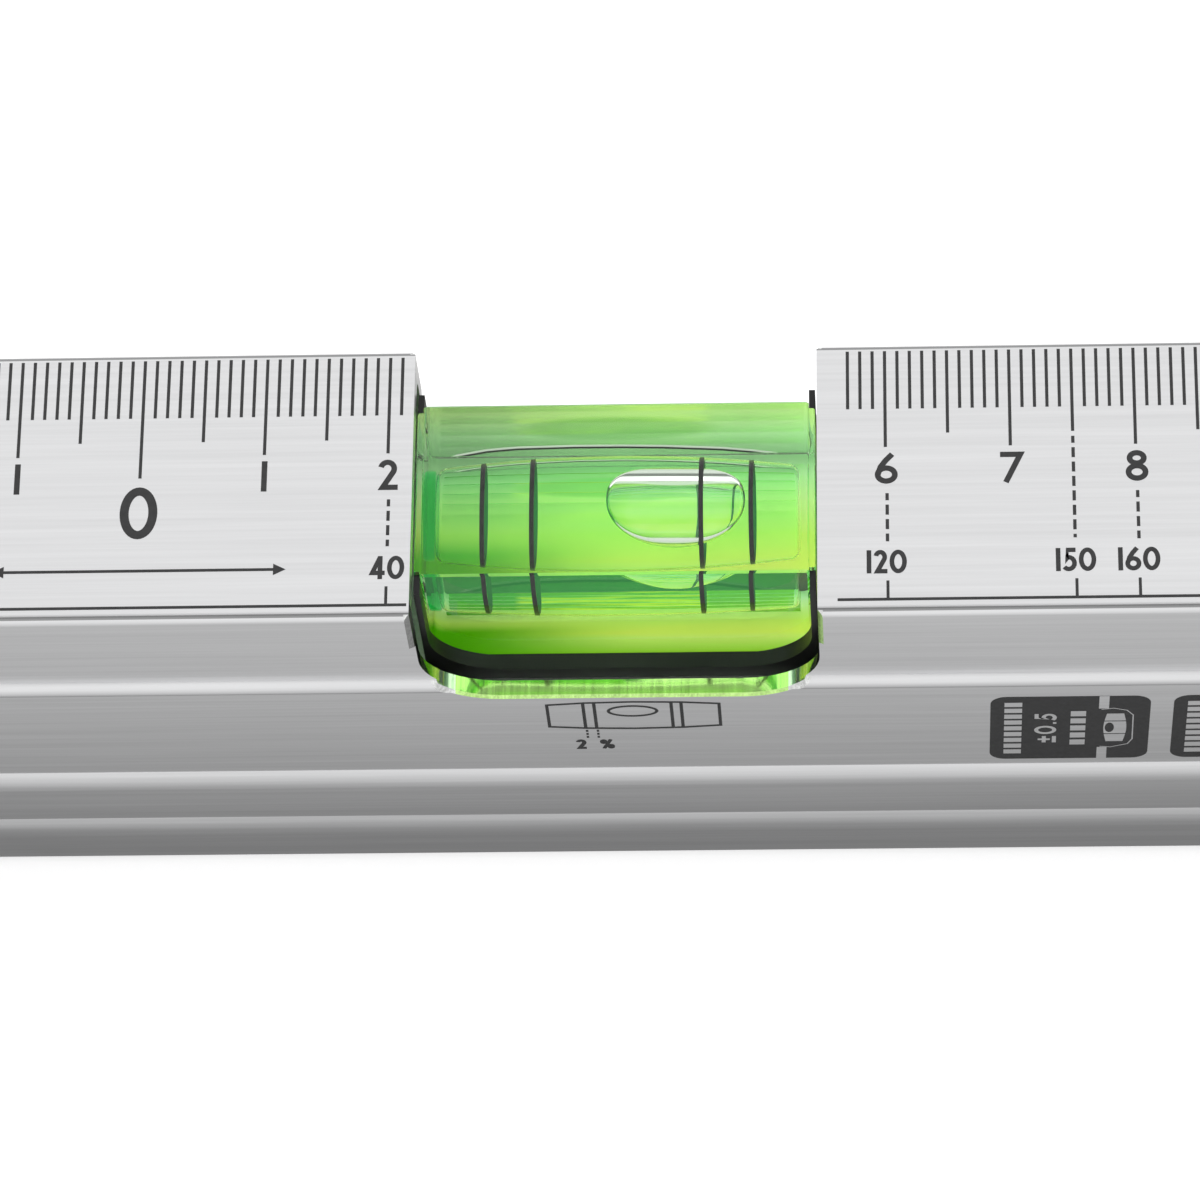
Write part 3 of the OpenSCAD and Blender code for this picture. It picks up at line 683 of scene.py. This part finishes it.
makeFilm()
makeBlades()
makeRearStrip()
makeArch("archPaintedHighlight", arch["light"], 0)
makeArch("archPaintedDarkLine", arch["dark"], 1)
print("vials made")

# ruler: marks that repeat

ruler = {                          # millimetres; y runs from the rear edge of the top face to the front
    "face": 49.0,
    "rear": 11.3, "width": 0.26, "thick": 0.02, "short": 5.2, "middle": 7.4, "long": 8.62,
    "zero": 10.6, "firstLeft": -200, "lastLeft": 21, "firstRight": 57, "lastRight": 200}


def finishTree(tree, points, scale, material, gout):     # a bar of the scale's size on each point
    bar = put(tree, "GeometryNodeMeshCube", {"Size": (1, 1, 1)}).outputs["Mesh"]
    placed = put(tree, "GeometryNodeInstanceOnPoints",
                 {"Points": points, "Instance": bar, "Scale": scale})
    real = put(tree, "GeometryNodeRealizeInstances", {0: placed.outputs[0]})
    dyed = put(tree, "GeometryNodeSetMaterial", {"Geometry": real.outputs[0], "Material": material})
    tree.links.new(dyed.outputs[0], gout.inputs[0])


def makeTickTree():
    tree = newTree("rulerTicks", "GeometryNodeTree")
    socket(tree, "Geometry", "Geometry", out=True)
    for name, value in (("First", -200), ("Count", 10)):
        socket(tree, name, "Int", value=value)
    for name in ("Pitch", "Rear", "Face", "Width", "Thick", "Short", "Middle", "Long", "Zero"):
        socket(tree, name, "Float", value=0.001)
    socket(tree, "Ink", "Material")
    gin, gout = put(tree, "NodeGroupInput"), put(tree, "NodeGroupOutput")
    g = gin.outputs
    line = put(tree, "GeometryNodeMeshLine", {"Count": g["Count"]}, mode="OFFSET")
    start = put(tree, "ShaderNodeCombineXYZ", {
        0: maths(tree, "MULTIPLY", g["First"], g["Pitch"]), 1: g["Rear"], 2: g["Face"]})
    step = put(tree, "ShaderNodeCombineXYZ", {0: g["Pitch"]})
    tree.links.new(start.outputs[0], line.inputs["Start Location"])
    tree.links.new(step.outputs[0], line.inputs["Offset"])
    number = maths(tree, "ADD", put(tree, "GeometryNodeInputIndex").outputs[0], g["First"])

    def every(n):
        return maths(tree, "COMPARE", maths(tree, "FLOORED_MODULO", number, float(n)), 0.0, 0.1)

    length = mixValue(tree, every(5), g["Short"], g["Middle"])
    length = mixValue(tree, every(10), length, g["Long"])
    length = mixValue(tree, maths(tree, "COMPARE", number, 0.0, 0.1), length, g["Zero"])
    drop = put(tree, "ShaderNodeCombineXYZ", {
        1: maths(tree, "MULTIPLY", length, -0.5), 2: maths(tree, "MULTIPLY", g["Thick"], 0.5)})
    moved = put(tree, "GeometryNodeSetPosition", {"Geometry": line.outputs[0],
                                                  "Offset": drop.outputs[0]})
    scale = put(tree, "ShaderNodeCombineXYZ", {0: g["Width"], 1: length, 2: g["Thick"]})
    finishTree(tree, moved.outputs[0], scale.outputs[0], g["Ink"], gout)
    return tree


def makeDashTree():
    tree = newTree("dashedLine", "GeometryNodeTree")
    socket(tree, "Geometry", "Geometry", out=True)
    socket(tree, "Count", "Int", value=4)
    for name in ("X", "First", "Last", "Face", "Pitch", "Dash", "Width", "Thick"):
        socket(tree, name, "Float", value=0.001)
    socket(tree, "Ink", "Material")
    gin, gout = put(tree, "NodeGroupInput"), put(tree, "NodeGroupOutput")
    g = gin.outputs
    line = put(tree, "GeometryNodeMeshLine", {"Count": g["Count"]}, mode="OFFSET")
    index = put(tree, "GeometryNodeInputIndex").outputs[0]
    # dashes start half a gap before the line's first end, and both end dashes are cut to it
    top = maths(tree, "SUBTRACT", maths(tree, "MULTIPLY_ADD", g["Dash"], 0.3, g["First"]),
                maths(tree, "MULTIPLY", index, g["Pitch"]))
    upper = maths(tree, "MINIMUM", top, g["First"])
    lower = maths(tree, "MAXIMUM", maths(tree, "SUBTRACT", top, g["Dash"]), g["Last"])
    middle = maths(tree, "MULTIPLY", maths(tree, "ADD", upper, lower), 0.5)
    length = maths(tree, "MAXIMUM", maths(tree, "SUBTRACT", upper, lower), 1e-6)
    where = put(tree, "ShaderNodeCombineXYZ", {
        0: g["X"], 1: middle, 2: maths(tree, "MULTIPLY_ADD", g["Thick"], 0.5, g["Face"])})
    moved = put(tree, "GeometryNodeSetPosition", {"Geometry": line.outputs[0],
                                                  "Position": where.outputs[0]})
    scale = put(tree, "ShaderNodeCombineXYZ", {0: g["Width"], 1: length, 2: g["Thick"]})
    finishTree(tree, moved.outputs[0], scale.outputs[0], g["Ink"], gout)
    return tree


def runTree(tree, values):
    holder = bpy.data.objects.new("holder", bpy.data.meshes.new("holder"))
    bpy.context.scene.collection.objects.link(holder)
    modifier = holder.modifiers.new("marks", "NODES")
    modifier.node_group = tree
    names = {s.name: s.identifier for s in tree.interface.items_tree
             if s.item_type == "SOCKET" and s.in_out == "INPUT"}
    for name, value in values.items():
        modifier[names[name]] = value
    bpy.context.view_layer.update()
    graph = bpy.context.evaluated_depsgraph_get()
    data = bpy.data.meshes.new_from_object(holder.evaluated_get(graph), depsgraph=graph)
    bpy.data.objects.remove(holder)
    return [tuple(v.co / mm) for v in data.vertices], [tuple(p.vertices) for p in data.polygons]


def millimetres(values):
    return {name: value * mm for name, value in values.items()}


tickTree, dashTree, ticks = makeTickTree(), makeDashTree(), []
for first, last in ((ruler["firstLeft"], ruler["lastLeft"]),
                    (ruler["firstRight"], ruler["lastRight"])):
    ticks.append(runTree(tickTree, {
        "First": first, "Count": last - first + 1, "Pitch": mm, "Ink": ink, **millimetres({
            "Rear": ruler["rear"], "Face": ruler["face"], "Width": ruler["width"],
            "Thick": ruler["thick"], "Short": ruler["short"], "Middle": ruler["middle"],
            "Long": ruler["long"], "Zero": ruler["zero"]})}))
joinParts("rulerTicks", ticks, ink)

dashes = {"pitch": 1.28, "dash": 0.88, "width": 0.27,            # lines: x, first y, last y, count
          "lines": ((20.15, -1.45, -5.6, 4), (60.1, -1.45, -5.7, 4),
                    (75.0, 3.45, -5.55, 8), (80.05, -1.45, -5.7, 4))}
dashParts = []
for x, first, last, count in dashes["lines"]:
    for side in (-1, 1):
        dashParts.append(runTree(dashTree, {"Count": count, "Ink": ink, **millimetres({
            "X": side * x, "First": first, "Last": last, "Face": ruler["face"],
            "Pitch": dashes["pitch"], "Dash": dashes["dash"], "Width": dashes["width"],
            "Thick": ruler["thick"]})}))
joinParts("rulerDashes", dashParts, ink)
print("ruler marks made")

# ruler: numbers and lines


# pen paths of the digits, 1 high, with their width; the pen is penWidth wide
penWidth = 0.17
digits = {
    "0": (0.74, [arc(0.37, 0.5, 0.285, 0.415, 90, 450, 40)]),
    "1": (0.22, [[(0.11, 0.0), (0.11, 1.0)]]),
    "2": (0.60, [arc(0.28, 0.70, 0.20, 0.215, 165, -35) + [(0.15, 0.085), (0.60, 0.085)]]),
    "3": (0.62, [arc(0.27, 0.71, 0.20, 0.205, 150, -90) + arc(0.27, 0.29, 0.25, 0.205, 90, -150)]),
    "4": (0.76, [[(0.54, 0.97), (0.19, 0.27), (0.76, 0.27)], [(0.54, 1.0), (0.54, 0.0)]]),
    "5": (0.60, [[(0.56, 0.915), (0.22, 0.915), (0.16, 0.56)]
                 + arc(0.24, 0.34, 0.26, 0.255, 105, -140)]),
    "6": (0.68, [arc(0.34, 0.30, 0.255, 0.215, 180, 540, 32),
                 [(0.52, 0.97), (0.32, 0.76), (0.17, 0.55), (0.088, 0.30)]]),
    "7": (0.70, [[(0.02, 0.915), (0.62, 0.915), (0.18, 0.0)]]),
    "8": (0.66, [arc(0.33, 0.745, 0.21, 0.17, 90, 450, 32),
                 arc(0.33, 0.285, 0.25, 0.205, 90, 450, 32)]),
    "9": (0.68, [arc(0.34, 0.70, 0.255, 0.215, 0, 360, 32),
                 [(0.16, 0.03), (0.36, 0.24), (0.51, 0.45), (0.592, 0.70)]]),
    "%": (0.86, [arc(0.19, 0.76, 0.13, 0.15, 0, 360, 20), arc(0.67, 0.24, 0.13, 0.15, 0, 360, 20),
                 [(0.68, 0.98), (0.18, 0.02)]]),
    ".": (0.22, [[(0.11, 0.0), (0.11, 0.16)]]),
    "+": (0.66, [[(0.05, 0.55), (0.61, 0.55)], [(0.33, 0.27), (0.33, 0.83)],
                 [(0.05, 0.085), (0.61, 0.085)]]),
    " ": (0.2, [])}
letterGap = 0.12


def writeText(store, text, centreX, baseY, height, place, pen=penWidth, stretch=1.0):
    total = sum(digits[c][0] for c in text) + letterGap * (len(text) - 1)
    x = centreX - total * height * stretch / 2
    for c in text:
        wide, paths = digits[c]
        for k, path in enumerate(paths):
            scaled = [(x + px * height * stretch, baseY + py * height) for px, py in path]
            store.append(ribbon(scaled, pen * height, 0.02, 0.004 * k, place))
        x += (wide + letterGap) * height * stretch


def onTop(x, y, h):
    return (x, y, ruler["face"] + h)


def line(store, points, width, place, lift=0.0):
    store.append(ribbon(points, width, 0.02, lift, place))


figures = {                        # numbers on the ruler: low edge and height of the digits
    "low": -0.6, "height": 2.7, "shift": 0.05, "zero": (0.02, -4.75, 4.68), "zeroPen": 0.155,
    "angles": ((20.1, "40"), (60.0, "120"), (75.0, "150"), (80.0, "160")),
    "angleLow": -8.5, "angleHeight": 2.02, "anglePen": 0.185, "narrow": 0.87}
numbers = []
for n in range(-19, 20):
    if n and not ruler["lastLeft"] < n * 10 < ruler["firstRight"]:
        writeText(numbers, str(abs(n)), n * 10 + figures["shift"], figures["low"], figures["height"],
                  onTop)
writeText(numbers, "0", *figures["zero"], onTop, figures["zeroPen"], figures["narrow"])
for x, text in figures["angles"]:
    for side in (-1, 1):
        writeText(numbers, text, side * x, figures["angleLow"], figures["angleHeight"], onTop,
                  figures["anglePen"], figures["narrow"])
joinParts("rulerNumbers", numbers, ink)

drawn = {                          # lines on the ruler
    "width": 0.24, "base": -10.78, "spans": ((-200, 21.8), (56.1, 200)), "upTo": -9.15, "lift": 0.004,
    "uprights": (20.15, 60.1, 75.05, 80.05), "arrow": -7.54, "arrowSpan": (-10.7, 11.1),
    "heads": ((-11.62, -10.62), (12.05, 11.05)), "headHalf": 0.5, "headThick": 0.021}
lines, base, middle = [], drawn["base"], drawn["arrow"]
for first, last in drawn["spans"]:
    line(lines, [(first, base), (last, base)], drawn["width"], onTop)
for x in drawn["uprights"]:
    for side in (-1, 1):
        line(lines, [(side * x, base), (side * x, drawn["upTo"])], drawn["width"], onTop, drawn["lift"])
line(lines, [(x, middle) for x in drawn["arrowSpan"]], drawn["width"], onTop)
for tip, tail in drawn["heads"]:
    head = [(tip, middle), (tail, middle + drawn["headHalf"]), (tail, middle - drawn["headHalf"])]
    if tip < 0:
        head.reverse()
    verts = [onTop(x, y, h) for h in (0.0, drawn["headThick"]) for x, y in head]
    lines.append((verts, [(0, 1, 2), (5, 4, 3), (0, 3, 4, 1), (1, 4, 5, 2), (2, 5, 3, 0)]))
joinParts("rulerLines", lines, ink)

# marks on the front

panel = {"y": -11.85, "labelXs": (68.31, 83.29)}


def onFront(x, z, h):
    return (x, panel["y"] - h, ruler["face"] + z)


def plate(outline, place, lift=0.0, thick=0.02):
    n = len(outline)
    verts = [place(x, y, h) for h in (lift, lift + thick) for x, y in outline]
    faces = [tuple(range(n)), tuple(reversed(range(n, 2 * n)))]
    faces += [(i, i + n, (i + 1) % n + n, (i + 1) % n) for i in range(n)]
    return verts, faces


pictogram = {                      # a vial with its reading lines, and what it stands for
    "end": ((31.95, -17.6), (35.0, -17.25), (39.0, -17.1), (43.0, -17.25), (46.1, -17.6)),
    "foot": ((46.1, -22.0), (43.0, -22.35), (39.0, -22.5), (35.0, -22.35), (31.95, -22.0)),
    "width": 0.27, "lineXs": (34.92, 35.83, 42.17, 42.99), "lineZ": (-17.2, -22.4), "lineWidth": 0.28,
    "bubble": (38.95, -18.95, 2.0, 1.0), "bubbleWidth": 0.26, "dotXs": (35.0, 35.9),
    "dotZ": (-22.75, -23.1), "dotPitch": 0.62, "dotWidth": 0.2, "textLow": -26.6, "textHeight": 1.85}
marks = []
line(marks, pictogram["end"] + pictogram["foot"] + pictogram["end"][:1], pictogram["width"], onFront)
for x in pictogram["lineXs"]:
    line(marks, [(x, z) for z in pictogram["lineZ"]], pictogram["lineWidth"], onFront, 0.004)
line(marks, arc(*pictogram["bubble"], 0, 360, 40), pictogram["bubbleWidth"], onFront)
for x in pictogram["dotXs"]:
    for k in range(3):
        line(marks, [(x, z - pictogram["dotPitch"] * k) for z in pictogram["dotZ"]],
             pictogram["dotWidth"], onFront)
for text, x, pen, stretch in (("2", 34.4, 0.2, 0.7), ("%", 36.55, 0.17, 0.66)):
    writeText(marks, text, x, pictogram["textLow"], pictogram["textHeight"], onFront, pen, stretch)
joinParts("frontPictogram", marks, ink)


def roundRect(x0, x1, y0, y1, r, steps=8):
    pts = []
    for cx, cy, start in ((x1 - r, y0 + r, -90), (x1 - r, y1 - r, 0),
                          (x0 + r, y1 - r, 90), (x0 + r, y0 + r, 180)):
        pts += arc(cx, cy, r, r, start, start + 90, steps)
    return pts


blocks, bare, icons = [], [], []
label = {                          # dark labels; x from their left side, z down from their top
    "width": 13.1, "top": -16.95, "height": 12.65, "corner": 1.35, "notch": (8.88, 9.70),
    "notchDeep": (2.45, 2.3), "bars": ((1.15, 2.6, 1.12, 11.86, 9), (6.6, 7.85, 2.95, 10.2, 5)),
    "vialX": (9.33, 11.22), "vialZ": (3.5, 9.15), "vialLines": (5.0, 7.6),
    "bubble": (9.82, 6.3, 0.38, 0.95), "textAt": (5.45, 9.35), "textSize": (3.0, 0, 1.8),
    "hook": ((9.1, 2.65), (10.1, 2.4), (11.2, 2.85), (11.72, 3.8), (11.76, 8.7), (11.4, 9.7),
             (10.0, 10.35), (9.1, 10.2))}


def makeLabel(x0):
    def at(x, z, h):
        return onFront(x0 + x, label["top"] - z, h)

    def upright(x, y, h):                        # text that reads from below upwards
        return at(label["textAt"][0] - y, label["textAt"][1] - x, h + 0.02)

    def strip(x1, x2, z1, z2):
        bare.append(plate([(x1, z2), (x2, z2), (x2, z1), (x1, z1)], at, 0.02, 0.01))

    width, height = label["width"], label["height"]
    blocks.append(plate([(x, -z) for x, z in roundRect(0, width, -height, 0, label["corner"])], at))
    notch, deep = label["notch"], label["notchDeep"]
    strip(*notch, -0.02, deep[0])
    strip(*notch, height - deep[1], height + 0.02)
    for x1, x2, z1, z2, count in label["bars"]:
        pitch = (z2 - z1) / count
        for k in range(count):
            strip(x1, x2, z1 + pitch * k, z1 + pitch * (k + 0.7))
    (left, right), (top, low) = label["vialX"], label["vialZ"]
    tall, bulge = (low - top) / 2, [0.25 * math.sin(math.pi * k / 10) for k in range(11)]
    outline = [(left + 0.25 - b, low - 2 * tall * k / 10) for k, b in enumerate(bulge)]
    outline += [(right - 0.25 + b, top + 2 * tall * k / 10) for k, b in enumerate(bulge)]
    bare.append(plate(outline, at, 0.02, 0.01))
    for z in label["vialLines"]:
        icons.append(ribbon([(left + 0.05, z), (right - 0.05, z)], 0.12, 0.01, 0.03, at))
    icons.append(plate(arc(*label["bubble"], 0, 360, 24)[:-1], at, 0.03, 0.012))
    bare.append(ribbon(label["hook"], 0.10, 0.01, 0.02, at))
    writeText(bare, "+0.5", *label["textSize"], upright, pen=0.185, stretch=1.3)


for x in panel["labelXs"]:
    makeLabel(x)
joinParts("frontLabels", blocks, ink)
joinParts("frontLabelMarks", bare, aluminium)
joinParts("frontLabelIcons", icons, ink)
print("prints made")

# camera, floor and light

view = {"f": 5980.157, "place": (61.805, -210.456, 479.247), "yaw": -7.00597,
        "elevation": 64.9159, "roll": -7.01538}


def makeCamera():
    y, e, r = (math.radians(view[k]) for k in ("yaw", "elevation", "roll"))
    ahead = Vector((math.sin(y) * math.cos(e), math.cos(y) * math.cos(e), -math.sin(e)))
    right = Vector((math.cos(y), -math.sin(y), 0))
    up = right.cross(ahead)
    right, up = (math.cos(r) * right + math.sin(r) * up, -math.sin(r) * right + math.cos(r) * up)
    data = bpy.data.cameras.new("camera")
    camera = bpy.data.objects.new("camera", data)
    bpy.context.scene.collection.objects.link(camera)
    turn = Matrix((right, up, -ahead)).transposed()
    camera.matrix_world = Matrix.Translation(Vector(view["place"]) * mm) @ turn.to_4x4()
    data.sensor_width = 36.0
    data.lens = view["f"] * 36.0 / 1200.0
    data.clip_start, data.clip_end = 0.01, 20.0
    bpy.context.scene.camera = camera


studio = {                         # brightness of what the level stands in, as each kind of ray meets it
    "gapAngle": 84.0, "gap": (6.0, 17.0, 0.25, 1.0), "horizon": (8.0, 13.0, 0.16, 1.0),
    "through": 1.65, "fill": 0.62, "floorSize": 3.0, "floorZ": -0.0004, "floor": rgb(0.8, 0.8, 0.8),
    "floorGlow": 0.58, "near": (0.014, 0.040, 0.24, 0.70), "far": (0.05, 0.16, 1.0, 1.3),
    "dim": (0.10, 0.35, 1.0, 0.22)}


def makeWorld():
    world = bpy.data.worlds.new("studio")
    bpy.context.scene.world = world
    world.use_nodes = True
    t = world.node_tree
    t.nodes.clear()
    path = put(t, "ShaderNodeLightPath").outputs
    direction = parted(t, "Generated")
    # angle round the level: 0 the front, 90 straight up, 180 behind
    angle = maths(t, "DEGREES", maths(t, "ARCTAN2", direction[2], maths(t, "MULTIPLY", direction[1], -1.0)))
    gap = mapRange(t, maths(t, "ABSOLUTE", maths(t, "SUBTRACT", angle, studio["gapAngle"])),
                   *studio["gap"], soft=True)
    level = maths(t, "ABSOLUTE", maths(t, "ARCSINE", maths(t, "SINE", maths(t, "RADIANS", angle))))
    horizon = mapRange(t, maths(t, "DEGREES", level), *studio["horizon"], soft=True)
    shown = maths(t, "MAXIMUM", path["Is Camera Ray"], maths(
        t, "MAXIMUM", path["Is Glossy Ray"], path["Is Transmission Ray"]))
    through = maths(t, "MULTIPLY", horizon, studio["through"])
    dimmed = maths(t, "MULTIPLY", gap, mixValue(t, path["Is Transmission Ray"], 1.0, through))
    mirrored = maths(t, "MAXIMUM", dimmed, path["Is Camera Ray"])
    back = put(t, "ShaderNodeBackground", {
        "Color": rgb(1, 1, 1), "Strength": mixValue(t, shown, studio["fill"], mirrored)})
    out = put(t, "ShaderNodeOutputWorld")
    t.links.new(back.outputs[0], out.inputs["Surface"])


def makeFloor():
    size, z = studio["floorSize"], studio["floorZ"]
    data = bpy.data.meshes.new("floor")
    data.from_pydata([(-size, -size, z), (size, -size, z), (size, size, z), (-size, size, z)],
                     [], [(0, 1, 2, 3)])
    floor = bpy.data.objects.new("floor", data)
    bpy.context.scene.collection.objects.link(floor)
    material = bpy.data.materials.new("paleFloor")
    material.use_nodes = True
    t = material.node_tree
    t.nodes.clear()
    path = put(t, "ShaderNodeLightPath").outputs
    diffuse = put(t, "ShaderNodeBsdfDiffuse", {"Color": studio["floor"]})
    glow = put(t, "ShaderNodeEmission", {"Color": rgb(1, 1, 1), "Strength": studio["floorGlow"]})
    white = put(t, "ShaderNodeAddShader", {0: diffuse.outputs[0], 1: glow.outputs[0]})
    # painted shadow: glossy and transmission rays see the floor as a plain emission, darker near the level
    # and brighter far off, and for transmission rays dimmer further off, in place of its lit shading
    away = maths(t, "ABSOLUTE", parted(t)[1])
    near, far, dim = (mapRange(t, away, *studio[key]) for key in ("near", "far", "dim"))
    strength = maths(t, "MULTIPLY", maths(t, "MULTIPLY", near, far),
                     mixValue(t, path["Is Transmission Ray"], 1.0, dim))
    dark = put(t, "ShaderNodeEmission", {"Color": rgb(1, 1, 1), "Strength": strength})
    shown = maths(t, "MAXIMUM", path["Is Glossy Ray"], path["Is Transmission Ray"])
    paintedFloorShadow = put(t, "ShaderNodeMixShader", {0: shown, 1: diffuse.outputs[0], 2: dark.outputs[0]})
    mix = put(t, "ShaderNodeMixShader", {0: path["Is Camera Ray"], 1: paintedFloorShadow.outputs[0],
                                         2: white.outputs[0]})
    # from below the floor is not there, so that the base can be looked at
    below = put(t, "ShaderNodeNewGeometry").outputs["Backfacing"]
    clearFloor = put(t, "ShaderNodeBsdfTransparent")
    either = put(t, "ShaderNodeMixShader", {0: below, 1: mix.outputs[0], 2: clearFloor.outputs[0]})
    out = put(t, "ShaderNodeOutputMaterial")
    t.links.new(either.outputs[0], out.inputs["Surface"])
    data.materials.append(material)


def makeLamp(name, place, aim, size, watts):
    data = bpy.data.lights.new(name, "AREA")
    data.shape, data.size, data.energy = "SQUARE", size, watts
    lamp = bpy.data.objects.new(name, data)
    bpy.context.scene.collection.objects.link(lamp)
    lamp.location = place
    lamp.rotation_mode = "QUATERNION"
    lamp.rotation_quaternion = (Vector(aim) - Vector(place)).to_track_quat("-Z", "Y")
    lamp.visible_glossy = lamp.visible_transmission = False


makeCamera()
makeWorld()
makeFloor()
makeLamp("keyLamp", (0.0, 0.55, 1.0), (0.04, 0, 0), 0.5, 5.5)
bpy.context.scene.view_settings.view_transform = "Standard"
print("camera, floor and light made")
